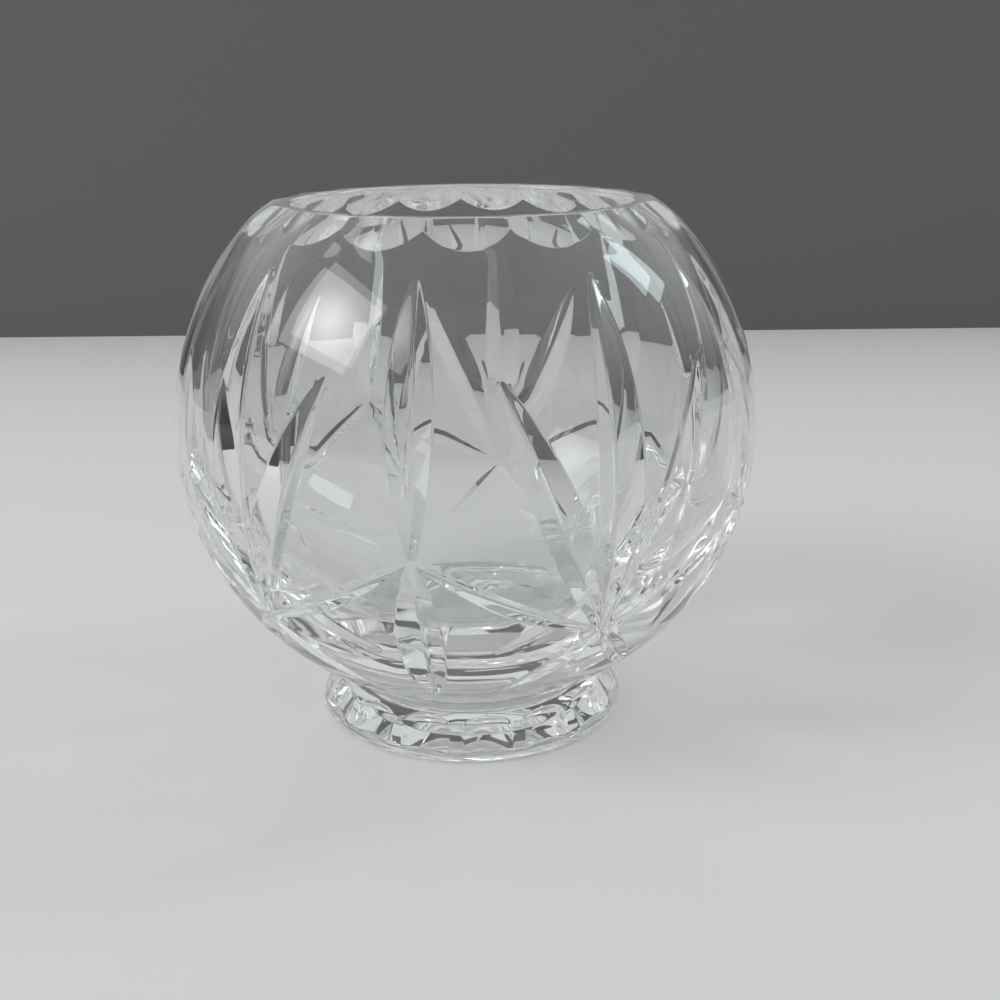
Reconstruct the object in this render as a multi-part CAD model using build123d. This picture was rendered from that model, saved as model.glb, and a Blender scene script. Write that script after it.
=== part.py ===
from build123d import *

import os
from math import asin, atan2, copysign, cos, degrees, radians, sin, sqrt, tan

# A footed rose bowl of clear cut crystal: a blown bowl, and a foot applied under it.
# The axis of the vase is Z, the foot stands on Z = 0, and azimuth 0 faces -Y.

# Bowl, outside: a half ellipse above the equator and another below it
bowl_radius = 63.5
equator_height = 65.6
overall_height = 114.9
rim_radius = 41.6
seat_radius = 27.1

# Bowl, inside
wall_thickness = 5.5
base_thickness = 7.4
mouth_radius = 34.5
mouth_edge_round = 0.8

# Foot
foot_height = 9.7
foot_radius = 35.1
foot_shoulder_width = 2.9
foot_shoulder_round = 0.7
flange_height = 1.6
flange_ledge = 0.8
flange_round = 0.5
recess_radius = 23.0
recess_depth = 1.8

# Flutes, hollowed round the foot above its flange
flute_count = 15
flute_azimuth = 7.2
flute_depth = 1.2
flute_wheel_radius = 18.0
flute_end_round = 2.0
flute_margin = 1.4

# Mitre cuts, made with a wheel whose edge is a V of this included angle
wheel_angle = 120
cutter_reach = 9.0
cutter_overrun = 8.0

# The pattern repeats round the bowl: a fan of cuts, a high point, then the next fan
pattern_count = 5
fan_azimuth = 27.8
fan_height = 37.6
high_point_height = 56.7
crossing_overshoot = 1.6

tall_cut_margin = 8.4
fan_tall_cut_width = 9.8
high_tall_cut_width = 8.8

side_cut_height = 90.2
side_cut_spread = 21.3
side_cut_width = 8.6

small_cut_height = 68.0
small_cut_spread = 6.0
small_cut_width = 3.4

zigzag_cut_width = 3.8

low_cut_height = 21.5
low_cut_spread = 20.0
low_cut_width = 4.8

drop_cut_height = 19.5
drop_cut_width = 9.0

# Scallops, hollowed round the outer edge of the rim
scallop_count = 17
scallop_azimuth = 2.3
scallop_land_radius = 38.9
scallop_width = 7.9
scallop_wheel_radius = 55.0
scallop_overrun = 12.0
scallop_turns = 3

# Worked out from the sizes above
half_wheel_angle = radians(wheel_angle / 2)
pattern_angle = 360 / pattern_count
rim_rise = overall_height - equator_height
seat_drop = equator_height - foot_height
shoulder_rise = rim_rise / sqrt(1 - (rim_radius / bowl_radius) ** 2)
belly_drop = seat_drop / sqrt(1 - (seat_radius / bowl_radius) ** 2)
tall_cut_height = overall_height - tall_cut_margin
bowl_middle = Vector(0, 0, equator_height)


# Places on the bowl

def outline_radius(height):
    rise = height - equator_height
    reach = shoulder_rise if rise > 0 else belly_drop
    return bowl_radius * sqrt(1 - (rise / reach) ** 2)


def shoulder_height(radius):
    return equator_height + shoulder_rise * sqrt(1 - (radius / bowl_radius) ** 2)


def turned(azimuth, radius, height):
    angle = radians(azimuth)
    return Vector(radius * sin(angle), -radius * cos(angle), height)


def on_bowl(azimuth, height):
    return turned(azimuth, outline_radius(height), height)


def skin_point(direction):
    # where a ray from the bowl's middle leaves the uncut bowl
    reach = shoulder_rise if direction.Z > 0 else belly_drop
    flat = sqrt(direction.X ** 2 + direction.Y ** 2)
    return bowl_middle + direction / sqrt((flat / bowl_radius) ** 2 + (direction.Z / reach) ** 2)


def past(start, end, extra):
    # the point on the bowl that lies a little beyond the end of a cut
    ahead = (end - start).normalized() * extra
    return skin_point((end + ahead - bowl_middle).normalized())


# Mitre cuts

def circle_middle(first, second, third):
    one_side = second - first
    other_side = third - first
    normal = one_side.cross(other_side)
    offset = (normal.cross(one_side) * other_side.dot(other_side)
              + other_side.cross(normal) * one_side.dot(one_side))
    return first + offset / (2 * normal.dot(normal))


def mitre_cut(start, end, width):
    # a V groove, widest at its middle, that runs out of the glass at both ends
    middle = skin_point(((start - bowl_middle).normalized() + (end - bowl_middle).normalized()).normalized())
    depth = width / 2 / tan(half_wheel_angle) + width ** 2 / (8 * bowl_radius)
    outward = (middle - bowl_middle).normalized()
    bottom = middle - outward * depth
    # the bottom line is an arc, whose hub is inside the bowl on a long cut and outside on a short one
    hub = circle_middle(start, bottom, end)
    to_start = start - hub
    to_end = end - hub
    arc_radius = to_start.length
    normal = to_start.cross(to_end).normalized()
    swing = degrees(atan2(to_start.cross(to_end).length, to_start.dot(to_end)))
    overrun = degrees(atan2(cutter_overrun, arc_radius))
    first = to_start.normalized().rotate(Axis((0, 0, 0), normal), -overrun)
    open_side = arc_radius + copysign(cutter_reach, (bottom - hub).dot(outward))
    flare = cutter_reach * tan(half_wheel_angle)
    section_plane = Plane(origin=hub, x_dir=first, z_dir=first.cross(normal))
    corners = [(arc_radius, 0), (open_side, flare), (open_side, -flare)]
    section = section_plane * make_face(Polyline(*corners, close=True))
    return revolve(section, Axis(hub, normal), swing + 2 * overrun)


def fan_cuts(azimuth):
    # the cuts that meet at a fan: one tall, and four on each side of it
    fan = on_bowl(azimuth, fan_height)
    top = on_bowl(azimuth, tall_cut_height)
    cuts = [mitre_cut(top, past(top, fan, crossing_overshoot), fan_tall_cut_width)]
    for side in (-1, 1):
        rays = [(side_cut_spread, side_cut_height, side_cut_width),
                (small_cut_spread, small_cut_height, small_cut_width),
                (low_cut_spread, low_cut_height, low_cut_width)]
        for spread, height, width in rays:
            tip = on_bowl(azimuth + side * spread, height)
            cuts.append(mitre_cut(tip, past(tip, fan, crossing_overshoot), width))
        high_point = on_bowl(azimuth + side * pattern_angle / 2, high_point_height)
        beyond_high_point = past(fan, high_point, crossing_overshoot)
        beyond_fan = past(high_point, fan, crossing_overshoot)
        cuts.append(mitre_cut(beyond_high_point, beyond_fan, zigzag_cut_width))
    return cuts


def high_point_cuts(azimuth):
    # a tall cut above the high point and a drop below it
    high_point = on_bowl(azimuth, high_point_height)
    top = on_bowl(azimuth, tall_cut_height)
    low = on_bowl(azimuth, drop_cut_height)
    tall = mitre_cut(top, past(top, high_point, crossing_overshoot), high_tall_cut_width)
    drop = mitre_cut(past(low, high_point, crossing_overshoot), low, drop_cut_width)
    return [tall, drop]


# Hollow cuts

def round_bar(wheel_radius, length, end_round=0):
    bar = Cylinder(wheel_radius, length, align=(Align.CENTER, Align.CENTER, Align.MIN))
    if end_round > 0:
        bar = fillet(bar.edges().group_by(Axis.Z)[0], end_round)
    return bar


def lay_on_slope(bar, azimuth, radius, height, slope, stand_off, run):
    # the bar's side faces a wall that slopes down and outward from this radius and height
    outward = turned(azimuth, 1, 0)
    upward = Vector(0, 0, 1)
    down_wall = outward * cos(slope) - upward * sin(slope)
    off_wall = outward * sin(slope) + upward * cos(slope)
    start = turned(azimuth, radius, height) + off_wall * stand_off + down_wall * run
    return Plane(origin=start, z_dir=down_wall) * bar


def scallop_cuts():
    low_radius = scallop_land_radius + scallop_width
    slope = atan2(overall_height - shoulder_height(low_radius), scallop_width)
    bar = round_bar(scallop_wheel_radius, 3 * scallop_overrun)
    cuts = []
    for number in range(scallop_count):
        azimuth = scallop_azimuth + number * 360 / scallop_count
        cuts.append(lay_on_slope(bar, azimuth, scallop_land_radius, overall_height, slope,
                                 scallop_wheel_radius, -scallop_overrun))
    return cuts


# Pieces

def oval_arc(radius, rise, height):
    # the part of an ellipse that starts at the equator and ends at this height
    angle = asin((height - equator_height) / rise)
    corners = [(radius, equator_height),
               (radius, equator_height + rise * tan(angle / 2)),
               (radius * cos(angle), height)]
    return Bezier(*corners, weights=[1, cos(angle / 2), 1])


def make_blank():
    inner_radius = bowl_radius - wall_thickness
    inner_bottom = foot_height + base_thickness
    inner_rise = rim_rise / sqrt(1 - (mouth_radius / inner_radius) ** 2)
    outline = [
        Line((0, inner_bottom), (0, foot_height)),
        Line((0, foot_height), (seat_radius, foot_height)),
        oval_arc(bowl_radius, belly_drop, foot_height),
        oval_arc(bowl_radius, shoulder_rise, overall_height),
        Line((rim_radius, overall_height), (mouth_radius, overall_height)),
        oval_arc(inner_radius, inner_rise, overall_height),
        oval_arc(inner_radius, equator_height - inner_bottom, inner_bottom),
    ]
    blank = revolve(Plane.XZ * make_face(outline), Axis.Z)
    mouth_edge = blank.edges().group_by(Axis.Z)[-1].sort_by(SortBy.LENGTH)[0]
    return fillet(mouth_edge, mouth_edge_round)


def make_bowl():
    sectors = []
    for number in range(pattern_count):
        azimuth = fan_azimuth + number * pattern_angle
        sectors.append(fan_cuts(azimuth) + high_point_cuts(azimuth + pattern_angle / 2))
    # cuts that lie clear of each other are taken out together
    rounds = list(zip(*sectors))
    scallops = scallop_cuts()
    rounds += [scallops[first::scallop_turns] for first in range(scallop_turns)]
    bowl = make_blank()
    for cuts in rounds:
        bowl = bowl.cut(*cuts)
    return bowl


def make_foot():
    shoulder_radius = seat_radius + foot_shoulder_width
    wall_radius = foot_radius - flange_ledge
    wall_height = foot_height - flange_height
    slope = atan2(wall_height, wall_radius - shoulder_radius)
    wall = Pos(0, 0, flange_height) * Cone(wall_radius, shoulder_radius, wall_height,
                                           align=(Align.CENTER, Align.CENTER, Align.MIN))
    wall = fillet(wall.edges().group_by(Axis.Z)[-1], foot_shoulder_round)
    bar = round_bar(flute_wheel_radius, foot_height + foot_radius, flute_end_round)
    flutes = []
    for number in range(flute_count):
        azimuth = flute_azimuth + number * 360 / flute_count
        flutes.append(lay_on_slope(bar, azimuth, shoulder_radius, foot_height, slope,
                                   flute_wheel_radius - flute_depth, flute_margin))
    wall = wall.cut(*flutes)
    flange = Cylinder(foot_radius, flange_height, align=(Align.CENTER, Align.CENTER, Align.MIN))
    flange = fillet(flange.edges(), flange_round)
    recess_profile = [ThreePointArc((0, recess_depth), (recess_radius / 2, recess_depth * 3 / 4), (recess_radius, 0)),
                      Line((recess_radius, 0), (0, 0)),
                      Line((0, 0), (0, recess_depth))]
    recess = revolve(Plane.XZ * make_face(recess_profile), Axis.Z)
    return wall + flange - recess


os.makedirs("parts", exist_ok=True)
pieces = {"bowl": make_bowl(), "foot": make_foot()}
for name, piece in pieces.items():
    piece.label = name
    export_step(piece, f"parts/{name}.step")
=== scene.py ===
from math import atan2, copysign, cos, degrees, radians, sin, sqrt, tan

import bmesh
import bpy
import numpy as np
from mathutils import Matrix, Vector
from mathutils.geometry import delaunay_2d_cdt
from mathutils.kdtree import KDTree


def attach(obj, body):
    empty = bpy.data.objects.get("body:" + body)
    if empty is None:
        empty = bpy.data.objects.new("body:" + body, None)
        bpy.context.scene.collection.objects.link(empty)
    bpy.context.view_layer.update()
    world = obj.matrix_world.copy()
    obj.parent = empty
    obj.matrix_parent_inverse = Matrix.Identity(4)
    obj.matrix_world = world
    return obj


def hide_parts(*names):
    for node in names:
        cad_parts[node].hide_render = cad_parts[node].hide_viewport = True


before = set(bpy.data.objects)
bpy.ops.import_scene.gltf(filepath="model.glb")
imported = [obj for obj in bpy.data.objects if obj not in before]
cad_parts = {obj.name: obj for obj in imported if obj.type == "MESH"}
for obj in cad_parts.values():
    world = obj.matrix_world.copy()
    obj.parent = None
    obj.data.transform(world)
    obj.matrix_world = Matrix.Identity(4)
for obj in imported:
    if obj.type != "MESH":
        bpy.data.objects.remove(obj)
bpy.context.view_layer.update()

# All sizes are in metres and all angles in degrees, in the frame of the vase.
# The axis of the vase is Z, the foot stands on Z = 0, and azimuth 0 faces -Y.

# Bowl
BOWL_RADIUS = 0.0635
EQUATOR_HEIGHT = 0.0656
OVERALL_HEIGHT = 0.1149
RIM_RADIUS = 0.0416
SEAT_RADIUS = 0.0271
WALL_THICKNESS = 0.0055
BASE_THICKNESS = 0.0074
MOUTH_RADIUS = 0.0345
MOUTH_EDGE_ROUND = 0.0008

# Foot
FOOT_HEIGHT = 0.0097
FOOT_RADIUS = 0.0351
FOOT_SHOULDER_WIDTH = 0.0029
FOOT_SHOULDER_ROUND = 0.0007
FLANGE_HEIGHT = 0.0016
FLANGE_LEDGE = 0.0008
FLANGE_ROUND = 0.0005
RECESS_RADIUS = 0.023
RECESS_DEPTH = 0.0018

FLUTE_COUNT = 15
FLUTE_AZIMUTH = 7.2
FLUTE_DEPTH = 0.0012
FLUTE_WHEEL_RADIUS = 0.018
FLUTE_END_ROUND = 0.002
FLUTE_MARGIN = 0.0014

# Mitre cuts
WHEEL_ANGLE = 120
PATTERN_COUNT = 5
FAN_AZIMUTH = 27.8
FAN_HEIGHT = 0.0376
HIGH_POINT_HEIGHT = 0.0567
CROSSING_OVERSHOOT = 0.0016
TALL_CUT_HEIGHT = 0.1065
DROP_CUT_HEIGHT = 0.0195
FAN_TALL_CUT_WIDTH = 0.0098
HIGH_TALL_CUT_WIDTH = 0.0088
DROP_CUT_WIDTH = 0.009
ZIGZAG_CUT_WIDTH = 0.0038
# spread to each side in degrees, height of the tip, width
SIDE_CUT = (21.3, 0.0902, 0.0086)
SMALL_CUT = (6.0, 0.068, 0.0034)
LOW_CUT = (20.0, 0.0215, 0.0048)
CUTTER_OVERRUN = 0.008

# Scallops
SCALLOP_COUNT = 17
SCALLOP_AZIMUTH = 2.3
SCALLOP_LAND_RADIUS = 0.0389
SCALLOP_WIDTH = 0.0079
SCALLOP_WHEEL_RADIUS = 0.055

# Polish: how far it rounds the edges, and the radius that it leaves along the bottoms of the mitre cuts
EDGE_SOFTNESS = 0.00005
VALLEY_RADIUS = 0.0013

# Mesh
SCALLOP_BAND_HEIGHT = 0.1084
LAND_RING_RADIUS = 0.0375
FOOT_EYE_HEIGHT = -0.012
BAND_STEPS = 340
MOUTH_STEPS = 170
SEAT_STEPS = 180
PROFILE_STEP = 0.0025
GRID_STEP = 0.00025
ROW_STEP = 0.00005
LINE_SPACING = 0.0004
# offset from the line, and spacing
STRIPS = ((0.00028, 0.00026), (0.00065, 0.00045))
CORNER_SPACING = 0.0002
FILL_STEP = 0.0015
FILL_SPACING = 0.0008
CREASE_STEP = 0.0003
JOIN_DISTANCE = 0.000002
SAME_PLACE = 1e-9
NUDGE = 1e-6
SETTLE_ROUNDS = 9
LEAST_SLOPE = 0.2
LINE_HALVINGS = 5
MOUTH_HALVINGS = 40
MOUTH_ROUND_STEPS = 10
FLANGE_ROUND_STEPS = 6
ZONES_PER_SURFACE = 4

# Glass
CRYSTAL_COLOUR = (0.905, 0.918, 0.91, 1)
CRYSTAL_INDEX = 1.545
SMEAR_SCALE = 60
SMEAR_DETAIL = 4
SMEAR_NOISE = (0.3, 0.7)
SMEAR_ROUGHNESS = (0, 0.02)
RIPPLE_SCALE = 90
RIPPLE_DETAIL = 1
RIPPLE_STRENGTH = 0.1
RIPPLE_HEIGHT = 0.0001

# Stage
STAGE_REACH = 2.5
WALL_REACH = 0.8
WALL_HEIGHT = 0.2
WALL_DISTANCE = 0.446
FLOOR_HEIGHT = -0.0003
FLOOR_COLOUR = (0.77, 0.76, 0.75, 1)
WALL_COLOUR = (0.165, 0.166, 0.158, 1)
STAGE_ROUGHNESS = 0.9

# Light
LIGHT_BOUNCES = 40
SKY_COLOUR = (0.97, 0.99, 1, 1)
# low down, and overhead
SKY_STRENGTHS = (0.5, 0.7)
# gained behind the vase, and lost in front of it
BACK_STRENGTH = 0.13
# how far up the haze starts to clear and is gone, and how much of the sky it leaves at the horizon
HAZE_SHARES = (0.09, 0.42)
HORIZON_SHARE = 0.05
DAYLIGHT = (1, 0.99, 0.97)
COOL_DAYLIGHT = (0.8, 0.94, 1)
# place, the point that it faces, width, height, power, colour
WINDOW_LEFT = ((-1.8, -0.79, 1.6), (0, 0, 0.09), 1.44, 1.08, 14, DAYLIGHT)
WINDOW_LEFT_CORE = ((-1.76, -0.77, 1.5), (0, 0, 0.09), 1.3, 1.0, 21, DAYLIGHT)
WINDOW_RIGHT = ((1.56, 0.42, 1.32), (0.03, -0.04, 0.1), 0.34, 0.68, 3.3, COOL_DAYLIGHT)

# Camera
CAMERA_PLACE = (0.00718, -0.27165, 0.13875)
CAMERA_PITCH = 18.57
CAMERA_ROLL = -0.565
CAMERA_LENS = 45.14
CAMERA_SENSOR = 36

# Worked out from the sizes above
LEDGE_RING_RADIUS = FOOT_RADIUS - FLANGE_ROUND
HALF_WHEEL = radians(WHEEL_ANGLE / 2)
PATTERN_ANGLE = 360 / PATTERN_COUNT
SHOULDER_RISE = (OVERALL_HEIGHT - EQUATOR_HEIGHT) / sqrt(1 - (RIM_RADIUS / BOWL_RADIUS) ** 2)
BELLY_DROP = (EQUATOR_HEIGHT - FOOT_HEIGHT) / sqrt(1 - (SEAT_RADIUS / BOWL_RADIUS) ** 2)
INNER_RADIUS = BOWL_RADIUS - WALL_THICKNESS
INNER_RISE = (OVERALL_HEIGHT - EQUATOR_HEIGHT) / sqrt(1 - (MOUTH_RADIUS / INNER_RADIUS) ** 2)
INNER_DROP = EQUATOR_HEIGHT - FOOT_HEIGHT - BASE_THICKNESS
MIDDLE = np.array([0, 0, EQUATOR_HEIGHT])


# Places on the bowl

def unit(vector):
    return vector / np.linalg.norm(vector)


def turned(azimuth, radius, height):
    angle = np.radians(azimuth)
    return np.stack(np.broadcast_arrays(radius * np.sin(angle), -radius * np.cos(angle), height), -1)


def outline_radius(height):
    rise = height - EQUATOR_HEIGHT
    reach = SHOULDER_RISE if rise > 0 else BELLY_DROP
    return BOWL_RADIUS * sqrt(1 - (rise / reach) ** 2)


def on_bowl(azimuth, height):
    return turned(azimuth, outline_radius(height), height)


def skin_points(directions):
    reach = np.where(directions[..., 2] > 0, SHOULDER_RISE, BELLY_DROP)
    flat = np.hypot(directions[..., 0], directions[..., 1])
    stretch = np.hypot(flat / BOWL_RADIUS, directions[..., 2] / reach)
    return MIDDLE + directions / stretch[..., None]


def past(start, end, extra):
    return skin_points(unit(end + unit(end - start) * extra - MIDDLE))


# Surfaces

# each has a gap, which is above zero where that surface has taken the glass away,
# and zones, which number the stretches of it that run smoothly

def rounded_gap(first, second, edge_round):
    # two faces, given by the distances from the start of the round between them
    corner = np.hypot(np.maximum(first, 0), np.maximum(second, 0))
    return corner + np.minimum(np.maximum(first, second), 0) - edge_round


def rounded_zones(first, second):
    return (first > 0) + 2 * (second > 0)


class Skin:
    """The uncut bowl."""

    def gap(self, points):
        rise = points[:, 2] - EQUATOR_HEIGHT
        reach = np.where(rise > 0, SHOULDER_RISE, BELLY_DROP)
        flat = np.hypot(points[:, 0], points[:, 1])
        level = np.hypot(flat / BOWL_RADIUS, rise / reach)
        steepness = np.hypot(flat / BOWL_RADIUS ** 2, rise / reach ** 2) / level
        return (level - 1) / steepness

    def zones(self, points):
        return np.zeros(len(points), int)


class Level:
    """A flat face across the axis."""

    def __init__(self, height):
        self.height = height

    def gap(self, points):
        return points[:, 2] - self.height

    def zones(self, points):
        return np.zeros(len(points), int)


class Groove:
    """A mitre cut: a V groove along an arc whose ends run out of the glass."""

    def __init__(self, start, end, width):
        middle = skin_points(unit(unit(start - MIDDLE) + unit(end - MIDDLE)))
        outward = unit(middle - MIDDLE)
        depth = width / 2 / tan(HALF_WHEEL) + width ** 2 / (8 * BOWL_RADIUS)
        bottom = middle - outward * depth
        one_side = bottom - start
        other_side = end - start
        normal = np.cross(one_side, other_side)
        offset = (np.cross(normal, one_side) * (other_side @ other_side)
                  + np.cross(other_side, normal) * (one_side @ one_side))
        self.hub = start + offset / (2 * normal @ normal)
        self.normal = unit(normal)
        self.radius = np.linalg.norm(start - self.hub)
        self.bend = copysign(1, (bottom - self.hub) @ outward)
        self.midway = unit(start + end - 2 * self.hub)
        half_swing = np.arccos((start - self.hub) @ self.midway / self.radius)
        self.least_share = cos(half_swing + atan2(CUTTER_OVERRUN, self.radius))

    def gap(self, points):
        offset = points - self.hub
        across = offset @ self.normal
        reach = np.sqrt((offset ** 2).sum(1) - across ** 2)
        height = self.bend * (reach - self.radius)
        over_round = VALLEY_RADIUS / sin(HALF_WHEEL) - height
        gap = np.where(np.abs(across) < over_round / tan(HALF_WHEEL),
                       VALLEY_RADIUS - np.hypot(across, over_round),
                       height * sin(HALF_WHEEL) - np.abs(across) * cos(HALF_WHEEL))
        return np.where(offset @ self.midway < reach * self.least_share, -1, gap)

    def zones(self, points):
        across = (points - self.hub) @ self.normal
        return np.digitize(across, VALLEY_RADIUS * cos(HALF_WHEEL) * np.array([-1, 0, 1]))


class Bar:
    """The hollow left by a round bar, or by one with a rounded end, that lies along a sloping wall."""

    def __init__(self, azimuth, radius, height, slope, wheel_radius, stand_off, run=None, end_round=0):
        outward = turned(azimuth, 1, 0)
        upward = np.array([0, 0, 1])
        self.along = outward * cos(slope) - upward * sin(slope)
        off_wall = outward * sin(slope) + upward * cos(slope)
        self.start = turned(azimuth, radius, height) + off_wall * stand_off
        self.radius = wheel_radius
        self.run = run
        self.end_round = end_round

    def distances(self, points):
        offset = points - self.start
        along = offset @ self.along
        aside = np.sqrt((offset ** 2).sum(1) - along ** 2)
        if self.run is None:
            return np.full(len(points), -1.0), aside - self.radius
        return self.run + self.end_round - along, aside - self.radius + self.end_round

    def gap(self, points):
        return -rounded_gap(*self.distances(points), self.end_round)

    def zones(self, points):
        return rounded_zones(*self.distances(points))


class Shoulder:
    """The sloping wall of the foot and the flat top above it, with the edge between them rounded."""

    def __init__(self, low, high, edge_round):
        run = unit(np.array(high) - np.array(low))
        self.low = low
        self.top = high[1]
        self.normal = (run[1], -run[0])
        self.edge_round = edge_round

    def distances(self, points):
        radius = np.hypot(points[:, 0], points[:, 1])
        off_wall = (radius - self.low[0]) * self.normal[0] + (points[:, 2] - self.low[1]) * self.normal[1]
        return off_wall + self.edge_round, points[:, 2] - self.top + self.edge_round

    def gap(self, points):
        return rounded_gap(*self.distances(points), self.edge_round)

    def zones(self, points):
        return rounded_zones(*self.distances(points))


class Glass:
    """A solid bounded by these surfaces, which may stand on a ledge that belongs to it."""

    def __init__(self, surfaces, ledge=None):
        self.surfaces = surfaces
        self.ledge = ledge

    def gap(self, points):
        gaps = np.stack([surface.gap(points) for surface in self.surfaces]) / EDGE_SOFTNESS
        top = gaps.max(0)
        gap = EDGE_SOFTNESS * (top + np.log(np.exp(gaps - top).sum(0)))
        if self.ledge:
            ledge_gap = self.ledge.gap(points)
            least = np.minimum(gap, ledge_gap)
            gap = least - EDGE_SOFTNESS * np.log(np.exp((least - gap) / EDGE_SOFTNESS)
                                                 + np.exp((least - ledge_gap) / EDGE_SOFTNESS))
        return gap

    def labels(self, points):
        gaps = np.stack([surface.gap(points) for surface in self.surfaces])
        owners = gaps.argmax(0)
        labels = owners * ZONES_PER_SURFACE
        for number in np.unique(owners):
            mine = owners == number
            labels[mine] += self.surfaces[number].zones(points[mine])
        if self.ledge:
            labels[self.ledge.gap(points) < gaps.max(0)] = -1
        return labels

    def settle(self, bases, directions):
        """The points where lines from these bases meet the finished surface."""
        travel = np.zeros(len(bases))
        for _ in range(SETTLE_ROUNDS):
            points = bases + directions * travel[:, None]
            here = self.gap(points)
            slope = (self.gap(points + directions * NUDGE) - here) / NUDGE
            travel -= here / np.clip(slope, LEAST_SLOPE, None)
        return bases + directions * travel[:, None]

    def normals(self, points):
        slopes = [self.gap(points + axis * NUDGE) - self.gap(points - axis * NUDGE) for axis in np.eye(3)]
        slopes = np.stack(slopes, 1)
        return slopes / np.linalg.norm(slopes, axis=1)[:, None]


class Chart:
    """A flat map of a surface as seen from a point on the axis, which keeps angles. It starts at an azimuth,
    is as wide as a turn round the axis in radians, and runs from one ring (radius, height) to another."""

    def __init__(self, glass, eye_height, azimuth, turn, low, high):
        self.glass = glass
        self.eye = np.array([0, 0, eye_height])
        self.azimuth = azimuth
        self.width = radians(turn)
        self.closed = turn == 360
        self.low, self.high = (np.arcsinh((height - eye_height) / radius) for radius, height in (low, high))
        self.reach = (np.hypot(low[0], low[1] - eye_height) + np.hypot(high[0], high[1] - eye_height)) / 2

    def directions(self, places):
        angle = places[:, 0] + radians(self.azimuth)
        directions = np.stack([np.sin(angle), -np.cos(angle), np.sinh(places[:, 1])], 1)
        return directions / np.linalg.norm(directions, axis=1)[:, None]

    def points(self, places):
        directions = self.directions(places)
        return self.glass.settle(self.eye + directions * self.reach, directions)

    def labels(self, places):
        return self.glass.labels(self.points(places))

    def scale(self, places):
        # metres to a unit of the map
        return self.reach / np.cosh(places[:, 1])

    def grid(self, step):
        middle_scale = self.scale(np.array([[0, (self.low + self.high) / 2]]))[0]
        x = np.linspace(0, self.width, round(self.width * middle_scale / step) + 1)
        y = np.linspace(self.low, self.high, round((self.high - self.low) * middle_scale / step) + 1)
        return np.stack(np.meshgrid(x, y), -1)

    def inside(self, places, margin):
        reaches = margin / self.scale(places)
        x, y = places.T
        kept = (x > reaches) & (x < self.width - reaches)
        kept &= (y > self.low + reaches) & (y < self.high - reaches)
        return places[kept]


class Thinner:
    """Keeps places one by one, each at least its spacing away from all that came before."""

    def __init__(self, chart):
        self.chart = chart
        self.cell = FILL_STEP / chart.reach / 2
        self.cells = {}
        self.kept = []

    def add(self, places, spacing):
        first = len(self.kept)
        reaches = spacing / self.chart.scale(places)
        for (x, y), reach in zip(places.tolist(), reaches.tolist()):
            steps = int(reach / self.cell) + 1
            column, row = int(x // self.cell), int(y // self.cell)
            near = (other for i in range(column - steps, column + steps + 1)
                    for j in range(row - steps, row + steps + 1)
                    for other in self.cells.get((i, j), ()))
            if all((x - a) ** 2 + (y - b) ** 2 >= reach * reach for a, b in near):
                self.cells.setdefault((column, row), []).append((x, y))
                self.kept.append((x, y))
        return np.array(self.kept[first:]).reshape(-1, 2)


def feature_places(chart):
    """Places on the lines where the surface bends, and at the corners where such lines meet."""
    grid = chart.grid(GRID_STEP)
    places = grid.reshape(-1, 2)
    labels = chart.labels(places)
    index = np.arange(len(places)).reshape(grid.shape[:2])
    pairs = np.concatenate([np.stack([index[:, :-1], index[:, 1:]], -1).reshape(-1, 2),
                            np.stack([index[:-1], index[1:]], -1).reshape(-1, 2)])
    pairs = pairs[labels[pairs[:, 0]] != labels[pairs[:, 1]]]
    first, second = places[pairs[:, 0]], places[pairs[:, 1]]
    for _ in range(LINE_HALVINGS):
        halfway = (first + second) / 2
        same = (chart.labels(halfway) == labels[pairs[:, 0]])[:, None]
        first, second = np.where(same, halfway, first), np.where(same, second, halfway)
    squares = np.stack([labels[index[:-1, :-1]], labels[index[1:, :-1]],
                        labels[index[:-1, 1:]], labels[index[1:, 1:]]])
    squares.sort(0)
    meets = (squares[1:] != squares[:-1]).sum(0) > 1
    corners = (grid[:-1, :-1] + grid[1:, 1:])[meets] / 2
    return (first + second) / 2, corners


def ways_across(chart, places, lines):
    """The direction across the line that each place lies on."""
    tree = KDTree(len(lines))
    for number, (x, y) in enumerate(lines.tolist()):
        tree.insert((x, y, 0), number)
    tree.balance()
    ways = []
    for (x, y), reach in zip(places.tolist(), (2 * GRID_STEP / chart.scale(places)).tolist()):
        near = lines[[number for _, number, _ in tree.find_range((x, y, 0), reach)]]
        x_spread, y_spread = (near - near.mean(0)).T
        angle = atan2(2 * (x_spread * y_spread).sum(), (x_spread ** 2 - y_spread ** 2).sum()) / 2
        ways.append((-sin(angle), cos(angle)))
    return np.array(ways)


def border_places(chart, edge, inward):
    """Rows along an upright border of the chart, with one on each line that crosses it."""
    rows = np.linspace(chart.low, chart.high, round((chart.high - chart.low) * chart.reach / ROW_STEP) + 1)
    places = np.stack([np.full(len(rows), edge), rows], 1)
    labels = chart.labels(places + [inward * ROW_STEP / chart.reach, 0])
    crossings = np.flatnonzero(labels[1:] != labels[:-1])
    return places, crossings


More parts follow.
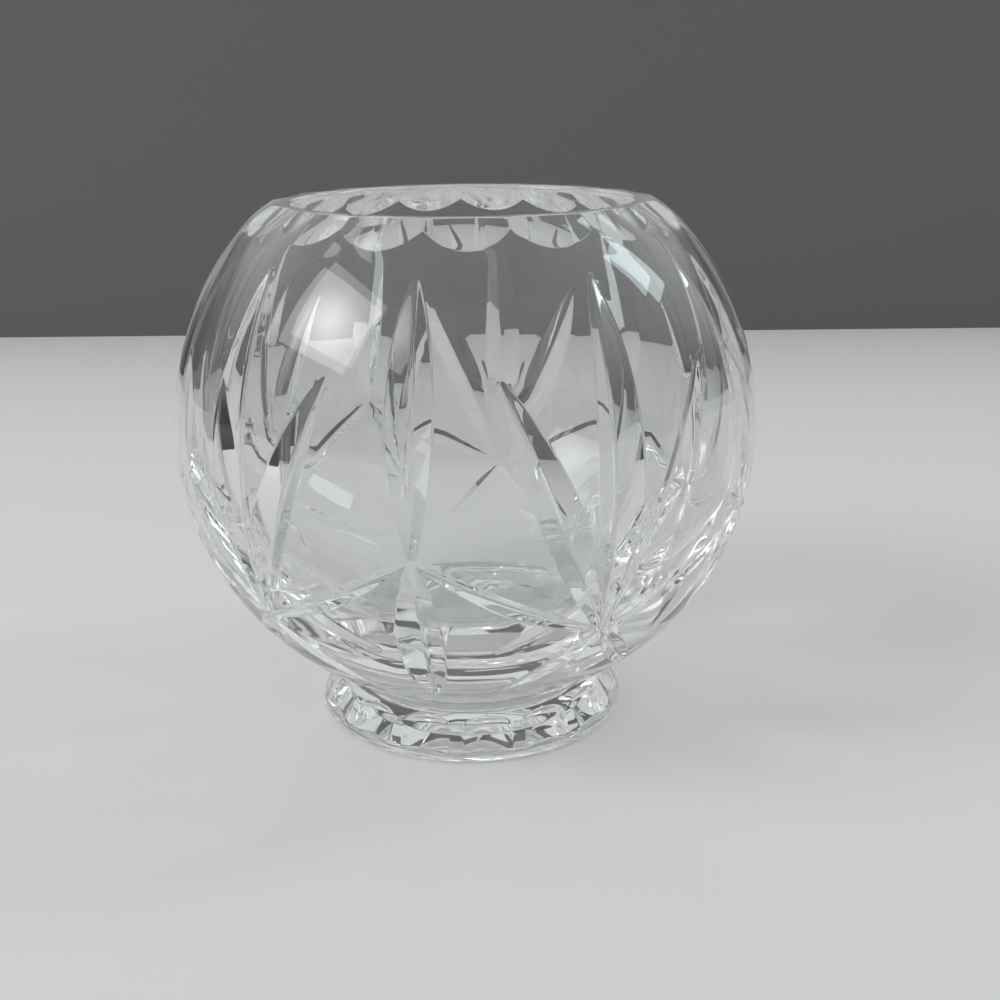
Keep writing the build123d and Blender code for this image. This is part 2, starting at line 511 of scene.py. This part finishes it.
def lay_out(chart, low_steps, high_steps):
    """Places for a mesh over the chart, dense along its lines, and the triangles between them."""
    lines, corners = feature_places(chart)
    thinner = Thinner(chart)
    for edge, steps in ((chart.low, low_steps), (chart.high, high_steps)):
        thinner.add(np.stack([np.linspace(0, chart.width, steps + 1), np.full(steps + 1, edge)], 1), 0)
    borders = []
    for edge, inward in ((0, 1), (chart.width, -1)):
        if edge == 0 or not chart.closed:
            places, crossings = border_places(chart, edge, inward)
        else:
            places = places + [chart.width, 0]
        thinner.add(places[crossings], CORNER_SPACING)
        borders.append((thinner.add(places, LINE_SPACING), inward))
    thinner.add(chart.inside(corners, CORNER_SPACING), CORNER_SPACING)
    on_lines = thinner.add(chart.inside(lines, CORNER_SPACING), LINE_SPACING)
    ways = ways_across(chart, on_lines, lines)
    for offset, spacing in STRIPS:
        across = ways * (offset / chart.scale(on_lines))[:, None]
        strips = [border + np.outer(inward * offset / chart.scale(border), [1, 0])
                  for border, inward in borders]
        for strip in strips + [on_lines + across, on_lines - across]:
            thinner.add(chart.inside(strip, CORNER_SPACING), spacing)
    fill = chart.grid(FILL_STEP)
    fill[1::2] += [chart.width / (fill.shape[1] - 1) / 2, 0]
    thinner.add(chart.inside(fill.reshape(-1, 2), FILL_SPACING / 2), FILL_SPACING)
    places = np.array(thinner.kept)
    triangles = delaunay_2d_cdt([Vector(place) for place in places.tolist()], [], [], 0, SAME_PLACE)[2]
    return places, np.array(triangles)


# Meshes, each as points, the directions they face, and triangles or squares

def charted(chart, low_steps, high_steps):
    places, triangles = lay_out(chart, low_steps, high_steps)
    points = chart.points(places)
    return points, chart.glass.normals(points), triangles


def spun(vectors, azimuth):
    angle = radians(azimuth)
    turn = np.array([[cos(angle), sin(angle), 0], [-sin(angle), cos(angle), 0], [0, 0, 1]])
    return vectors @ turn


def mirrored_round(patch, azimuth, count):
    """Copies of a half sector that starts at this azimuth, mirrored there and repeated round the axis."""
    points, facing, faces = patch
    meshes = []
    for number in range(count):
        turn = number * 360 / count
        for side in (1, -1):
            flip = np.array([side, 1, 1])
            meshes.append((spun(spun(points, -azimuth) * flip, azimuth + turn),
                           spun(spun(facing, -azimuth) * flip, azimuth + turn), faces))
    return meshes


def revolved(rows, steps, azimuth):
    """A mesh round the axis through rows of radius, height and the direction that each faces."""
    points, facing, faces = [], [], []
    azimuths = azimuth + np.arange(steps) * 360 / steps
    for radius, height, out, up in rows:
        if radius == 0:
            azimuths = azimuths[:1]
        points.append(turned(azimuths, radius, height))
        facing.append(turned(azimuths, out, up))
    starts = np.cumsum([0] + [len(row) for row in points])
    around = np.arange(steps)
    for number in range(len(rows) - 1):
        ring = starts[number] + around
        if len(points[number + 1]) == 1:
            pole = np.full(steps, starts[number + 1])
            faces += np.stack([ring, np.roll(ring, -1), pole], 1).tolist()
        else:
            next_ring = starts[number + 1] + around
            faces += np.stack([ring, np.roll(ring, -1), np.roll(next_ring, -1), next_ring], 1).tolist()
    return np.concatenate(points), np.concatenate(facing), faces


def make_piece(name, meshes):
    """One object from these meshes, joined where they meet, which faces the way they say."""
    points = np.concatenate([mesh[0] for mesh in meshes])
    facing = np.concatenate([mesh[1] for mesh in meshes])
    faces = []
    first = 0
    for mesh_points, mesh_facing, mesh_faces in meshes:
        for face in (mesh_faces.tolist() if isinstance(mesh_faces, np.ndarray) else mesh_faces):
            corners = mesh_points[face[:3]]
            outward = np.cross(corners[1] - corners[0], corners[2] - corners[0]) @ mesh_facing[face[0]]
            order = face if outward > 0 else face[::-1]
            faces.append([first + corner for corner in order])
        first += len(mesh_points)
    mesh = bpy.data.meshes.new(name)
    mesh.from_pydata(points.tolist(), [], faces)
    mesh.attributes.new("facing", "FLOAT_VECTOR", "POINT").data.foreach_set("vector", facing.ravel())
    joined = bmesh.new()
    joined.from_mesh(mesh)
    bmesh.ops.remove_doubles(joined, verts=joined.verts, dist=JOIN_DISTANCE)
    joined.to_mesh(mesh)
    joined.free()
    facing = np.empty(3 * len(mesh.vertices), np.float32)
    mesh.attributes["facing"].data.foreach_get("vector", facing)
    mesh.attributes.remove(mesh.attributes["facing"])
    mesh.shade_smooth()
    mesh.normals_split_custom_set_from_vertices(facing.reshape(-1, 3).tolist())
    piece = bpy.data.objects.new(name, mesh)
    bpy.context.scene.collection.objects.link(piece)
    return piece


# Profiles of the turned surfaces, as rows of radius, height and the direction that each faces

def arc_rows(middle, radius, start, end, steps):
    """Rows on a round; an angle of 0 faces away from the axis, and one of 90 faces up."""
    angles = np.radians(np.linspace(start, end, steps + 1))
    return [(middle[0] + radius * cos(angle), middle[1] + radius * sin(angle), cos(angle), sin(angle))
            for angle in angles]


def inner_row(angle):
    """A row on the inside of the bowl, at an angle up from the equator."""
    reach = INNER_RISE if angle > 0 else INNER_DROP
    out, up = unit(np.array([-cos(angle) / INNER_RADIUS, -sin(angle) / reach]))
    return INNER_RADIUS * cos(angle), EQUATOR_HEIGHT + reach * sin(angle), out, up


def mouth_and_inside():
    # the round on the mouth's edge touches the flat rim and the inside
    round_height = OVERALL_HEIGHT - MOUTH_EDGE_ROUND
    low, high = 0, np.pi / 2
    for _ in range(MOUTH_HALVINGS):
        angle = (low + high) / 2
        radius, height, out, up = inner_row(angle)
        if height - up * MOUTH_EDGE_ROUND > round_height:
            high = angle
        else:
            low = angle
    middle = (radius - out * MOUTH_EDGE_ROUND, round_height)
    end = degrees(atan2(up, out)) % 360
    rows = [(LAND_RING_RADIUS, OVERALL_HEIGHT, 0, 1)]
    rows += arc_rows(middle, MOUTH_EDGE_ROUND, 90, end, MOUTH_ROUND_STEPS)
    upper_steps = round(angle * INNER_RISE / PROFILE_STEP)
    rows += [inner_row(angle * (1 - step / upper_steps)) for step in range(1, upper_steps)]
    lower_steps = round(np.pi / 2 * INNER_DROP / PROFILE_STEP)
    rows += [inner_row(-np.pi / 2 * step / lower_steps) for step in range(lower_steps)]
    return rows + [(0, EQUATOR_HEIGHT - INNER_DROP, 0, 1)]


def flange_and_underside():
    top = (LEDGE_RING_RADIUS, FLANGE_HEIGHT - FLANGE_ROUND)
    low = (LEDGE_RING_RADIUS, FLANGE_ROUND)
    rows = arc_rows(top, FLANGE_ROUND, 90, 0, FLANGE_ROUND_STEPS)
    rows += arc_rows(low, FLANGE_ROUND, 0, -90, FLANGE_ROUND_STEPS)
    rows += [(RECESS_RADIUS + CREASE_STEP, 0, 0, -1)]
    # the recess is a shallow dome
    dome_radius = (RECESS_RADIUS ** 2 + RECESS_DEPTH ** 2) / (2 * RECESS_DEPTH)
    dome_angle = np.arcsin(RECESS_RADIUS / dome_radius)
    steps = round(RECESS_RADIUS / PROFILE_STEP)
    for step in range(steps):
        angle = dome_angle * (1 - step / steps)
        if step == 0:
            angle -= dome_angle * CREASE_STEP / RECESS_RADIUS
            rows.append((RECESS_RADIUS, 0, -sin(dome_angle / 2), -cos(dome_angle / 2)))
        height = RECESS_DEPTH - dome_radius * (1 - cos(angle))
        rows.append((dome_radius * sin(angle), height, -sin(angle), -cos(angle)))
    return rows + [(0, RECESS_DEPTH, 0, -1)]


# The glass

def ray_cuts(azimuth, side):
    """The side, small and low cuts on one side of a fan."""
    fan = on_bowl(azimuth, FAN_HEIGHT)
    cuts = []
    for spread, height, width in (SIDE_CUT, SMALL_CUT, LOW_CUT):
        tip = on_bowl(azimuth + side * spread, height)
        cuts.append(Groove(tip, past(tip, fan, CROSSING_OVERSHOOT), width))
    return cuts


def tall_cut(azimuth, low_height, width):
    top = on_bowl(azimuth, TALL_CUT_HEIGHT)
    return Groove(top, past(top, on_bowl(azimuth, low_height), CROSSING_OVERSHOOT), width)


def zigzag_cut(fan_azimuth, high_azimuth):
    fan = on_bowl(fan_azimuth, FAN_HEIGHT)
    high_point = on_bowl(high_azimuth, HIGH_POINT_HEIGHT)
    return Groove(past(fan, high_point, CROSSING_OVERSHOOT), past(high_point, fan, CROSSING_OVERSHOOT),
                  ZIGZAG_CUT_WIDTH)


def drop_cut(azimuth):
    low = on_bowl(azimuth, DROP_CUT_HEIGHT)
    high_point = on_bowl(azimuth, HIGH_POINT_HEIGHT)
    return Groove(past(low, high_point, CROSSING_OVERSHOOT), low, DROP_CUT_WIDTH)


def half_sector_glass():
    """The bowl from the middle of a fan to the middle of the next high point."""
    surfaces = [Skin()]
    for fan in (FAN_AZIMUTH, FAN_AZIMUTH + PATTERN_ANGLE):
        surfaces += [tall_cut(fan, FAN_HEIGHT, FAN_TALL_CUT_WIDTH)]
        for side in (-1, 1):
            surfaces += ray_cuts(fan, side)
            surfaces += [zigzag_cut(fan, fan + side * PATTERN_ANGLE / 2)]
    high = FAN_AZIMUTH + PATTERN_ANGLE / 2
    return Glass(surfaces + [tall_cut(high, HIGH_POINT_HEIGHT, HIGH_TALL_CUT_WIDTH), drop_cut(high)])


def rim_glass():
    low_radius = SCALLOP_LAND_RADIUS + SCALLOP_WIDTH
    low_height = EQUATOR_HEIGHT + SHOULDER_RISE * sqrt(1 - (low_radius / BOWL_RADIUS) ** 2)
    slope = atan2(OVERALL_HEIGHT - low_height, SCALLOP_WIDTH)
    azimuths = [SCALLOP_AZIMUTH + number * 360 / SCALLOP_COUNT for number in range(SCALLOP_COUNT)]
    scallops = [Bar(azimuth, SCALLOP_LAND_RADIUS, OVERALL_HEIGHT, slope,
                    SCALLOP_WHEEL_RADIUS, SCALLOP_WHEEL_RADIUS) for azimuth in azimuths]
    return Glass([Skin(), Level(OVERALL_HEIGHT)] + scallops)


def foot_glass():
    low = (FOOT_RADIUS - FLANGE_LEDGE, FLANGE_HEIGHT)
    high = (SEAT_RADIUS + FOOT_SHOULDER_WIDTH, FOOT_HEIGHT)
    slope = atan2(high[1] - low[1], low[0] - high[0])
    azimuths = [FLUTE_AZIMUTH + number * 360 / FLUTE_COUNT for number in (-1, 0, 1)]
    flutes = [Bar(azimuth, *high, slope, FLUTE_WHEEL_RADIUS, FLUTE_WHEEL_RADIUS - FLUTE_DEPTH,
                  FLUTE_MARGIN, FLUTE_END_ROUND) for azimuth in azimuths]
    return Glass([Shoulder(low, high, FOOT_SHOULDER_ROUND)] + flutes, Level(FLANGE_HEIGHT))


def make_bowl():
    seat_ring = (SEAT_RADIUS, FOOT_HEIGHT)
    band_ring = (outline_radius(SCALLOP_BAND_HEIGHT), SCALLOP_BAND_HEIGHT)
    land_ring = (LAND_RING_RADIUS, OVERALL_HEIGHT)
    halves = 2 * PATTERN_COUNT
    sector_chart = Chart(half_sector_glass(), EQUATOR_HEIGHT, FAN_AZIMUTH, 360 / halves, seat_ring, band_ring)
    half_sector = charted(sector_chart, SEAT_STEPS // halves, BAND_STEPS // halves)
    sectors = mirrored_round(half_sector, FAN_AZIMUTH, PATTERN_COUNT)
    rim_chart = Chart(rim_glass(), EQUATOR_HEIGHT, FAN_AZIMUTH, 360, band_ring, land_ring)
    rim = charted(rim_chart, BAND_STEPS, MOUTH_STEPS)
    inside = revolved(mouth_and_inside(), MOUTH_STEPS, FAN_AZIMUTH)
    return make_piece("cut_bowl", sectors + [rim, inside])


def make_foot():
    halves = 2 * FLUTE_COUNT
    flute_chart = Chart(foot_glass(), FOOT_EYE_HEIGHT, FLUTE_AZIMUTH, 360 / halves,
                        (LEDGE_RING_RADIUS, FLANGE_HEIGHT), (SEAT_RADIUS, FOOT_HEIGHT))
    half_flute = charted(flute_chart, SEAT_STEPS // halves, SEAT_STEPS // halves)
    flutes = mirrored_round(half_flute, FLUTE_AZIMUTH, FLUTE_COUNT)
    underside = revolved(flange_and_underside(), SEAT_STEPS, FLUTE_AZIMUTH)
    return make_piece("fluted_foot", flutes + [underside])


# Materials

def new_material(name):
    material = bpy.data.materials.new(name)
    material.use_nodes = True
    return material, material.node_tree.nodes["Principled BSDF"]


def noise(tree, scale, detail):
    places = tree.nodes.new("ShaderNodeTexCoord")
    texture = tree.nodes.new("ShaderNodeTexNoise")
    texture.inputs["Scale"].default_value = scale
    texture.inputs["Detail"].default_value = detail
    tree.links.new(places.outputs["Object"], texture.inputs["Vector"])
    return texture.outputs["Fac"]


def ranged(tree, value, before, after):
    scaled = tree.nodes.new("ShaderNodeMapRange")
    scaled.inputs["From Min"].default_value, scaled.inputs["From Max"].default_value = before
    scaled.inputs["To Min"].default_value, scaled.inputs["To Max"].default_value = after
    tree.links.new(value, scaled.inputs["Value"])
    return scaled.outputs["Result"]


def combined(tree, operation, first, second):
    result = tree.nodes.new("ShaderNodeMath")
    result.operation = operation
    tree.links.new(first, result.inputs[0])
    tree.links.new(second, result.inputs[1])
    return result.outputs["Value"]


def crystal_material():
    """Clear lead crystal, polished, with the faint smears and ripples of hand work."""
    material, shader = new_material("clear_crystal")
    tree = material.node_tree
    shader.inputs["Base Color"].default_value = CRYSTAL_COLOUR
    shader.inputs["Transmission Weight"].default_value = 1
    shader.inputs["IOR"].default_value = CRYSTAL_INDEX
    smears = noise(tree, SMEAR_SCALE, SMEAR_DETAIL)
    tree.links.new(ranged(tree, smears, SMEAR_NOISE, SMEAR_ROUGHNESS), shader.inputs["Roughness"])
    ripples = tree.nodes.new("ShaderNodeBump")
    ripples.inputs["Strength"].default_value = RIPPLE_STRENGTH
    ripples.inputs["Distance"].default_value = RIPPLE_HEIGHT
    tree.links.new(noise(tree, RIPPLE_SCALE, RIPPLE_DETAIL), ripples.inputs["Height"])
    tree.links.new(ripples.outputs["Normal"], shader.inputs["Normal"])
    return material


def stage_material(name, colour):
    material, shader = new_material(name)
    shader.inputs["Base Color"].default_value = colour
    shader.inputs["Roughness"].default_value = STAGE_ROUGHNESS
    return material


# Stage, light and camera

def sheet(name, corners, material):
    mesh = bpy.data.meshes.new(name)
    mesh.from_pydata(corners, [], [(0, 1, 2, 3)])
    mesh.materials.append(material)
    panel = bpy.data.objects.new(name, mesh)
    bpy.context.scene.collection.objects.link(panel)


def make_stage():
    # the floor lies just clear of the foot, so light passes from one to the other through air
    sheet("floor", [(-STAGE_REACH, -STAGE_REACH, FLOOR_HEIGHT), (STAGE_REACH, -STAGE_REACH, FLOOR_HEIGHT),
                    (STAGE_REACH, WALL_DISTANCE, FLOOR_HEIGHT), (-STAGE_REACH, WALL_DISTANCE, FLOOR_HEIGHT)],
          stage_material("pale_floor", FLOOR_COLOUR))
    sheet("wall", [(-WALL_REACH, WALL_DISTANCE, FLOOR_HEIGHT), (WALL_REACH, WALL_DISTANCE, FLOOR_HEIGHT),
                   (WALL_REACH, WALL_DISTANCE, WALL_HEIGHT), (-WALL_REACH, WALL_DISTANCE, WALL_HEIGHT)],
          stage_material("grey_wall", WALL_COLOUR))


def make_lamp(name, place, aim, width, height, power, colour):
    lamp = bpy.data.lights.new(name, "AREA")
    lamp.color = colour
    lamp.shape = "RECTANGLE"
    lamp.size = width
    lamp.size_y = height
    lamp.energy = power
    holder = bpy.data.objects.new(name, lamp)
    holder.location = place
    holder.rotation_euler = (Vector(aim) - Vector(place)).to_track_quat("-Z", "Y").to_euler()
    bpy.context.scene.collection.objects.link(holder)
    return lamp


def fade_to_edges(lamp):
    lamp.use_nodes = True
    nodes, links = lamp.node_tree.nodes, lamp.node_tree.links
    place = nodes.new("ShaderNodeNewGeometry")
    # the lamp's own coordinates, from -1 to 1 across it
    centred = nodes.new("ShaderNodeMapping")
    centred.inputs["Location"].default_value = (-1, -1, 0)
    centred.inputs["Scale"].default_value = (2, 2, 0)
    glow = nodes.new("ShaderNodeTexGradient")
    glow.gradient_type = "SPHERICAL"
    links.new(place.outputs["Parametric"], centred.inputs["Vector"])
    links.new(centred.outputs["Vector"], glow.inputs["Vector"])
    links.new(glow.outputs["Fac"], nodes["Emission"].inputs["Strength"])


def make_world():
    """A sky of soft light that fades at the horizon."""
    world = bpy.data.worlds.new("room")
    world.use_nodes = True
    tree = world.node_tree
    background = tree.nodes["Background"]
    background.inputs["Color"].default_value = SKY_COLOUR
    direction = tree.nodes.new("ShaderNodeTexCoord")
    parts = tree.nodes.new("ShaderNodeSeparateXYZ")
    tree.links.new(direction.outputs["Generated"], parts.inputs["Vector"])
    above = ranged(tree, parts.outputs["Z"], (0, 1), SKY_STRENGTHS)
    back = ranged(tree, parts.outputs["Y"], (-1, 1), (-BACK_STRENGTH, BACK_STRENGTH))
    haze = ranged(tree, parts.outputs["Z"], HAZE_SHARES, (HORIZON_SHARE, 1))
    strength = combined(tree, "MULTIPLY", combined(tree, "ADD", above, back), haze)
    tree.links.new(strength, background.inputs["Strength"])
    bpy.context.scene.world = world


def make_camera():
    camera = bpy.data.cameras.new("camera")
    camera.lens = CAMERA_LENS
    camera.sensor_width = CAMERA_SENSOR
    holder = bpy.data.objects.new("camera", camera)
    tilt = Matrix.Rotation(radians(90 - CAMERA_PITCH), 4, "X") @ Matrix.Rotation(radians(CAMERA_ROLL), 4, "Z")
    holder.matrix_world = Matrix.Translation(CAMERA_PLACE) @ tilt
    bpy.context.scene.collection.objects.link(holder)
    bpy.context.scene.camera = holder


crystal = crystal_material()
for make, node in ((make_bowl, "bowl"), (make_foot, "foot")):
    piece = make()
    piece.data.materials.append(crystal)
    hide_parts(node)
    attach(piece, "root")

make_stage()
make_world()
make_lamp("window_left", *WINDOW_LEFT)
fade_to_edges(make_lamp("window_left_core", *WINDOW_LEFT_CORE))
make_lamp("window_right", *WINDOW_RIGHT)
make_camera()
bpy.context.scene.view_settings.view_transform = "Standard"
# light turns many times in thick glass before it leaves, and scattered light sees the glass unblurred
cycles = bpy.context.scene.cycles
cycles.blur_glossy = 0
cycles.max_bounces = cycles.glossy_bounces = cycles.transmission_bounces = LIGHT_BOUNCES
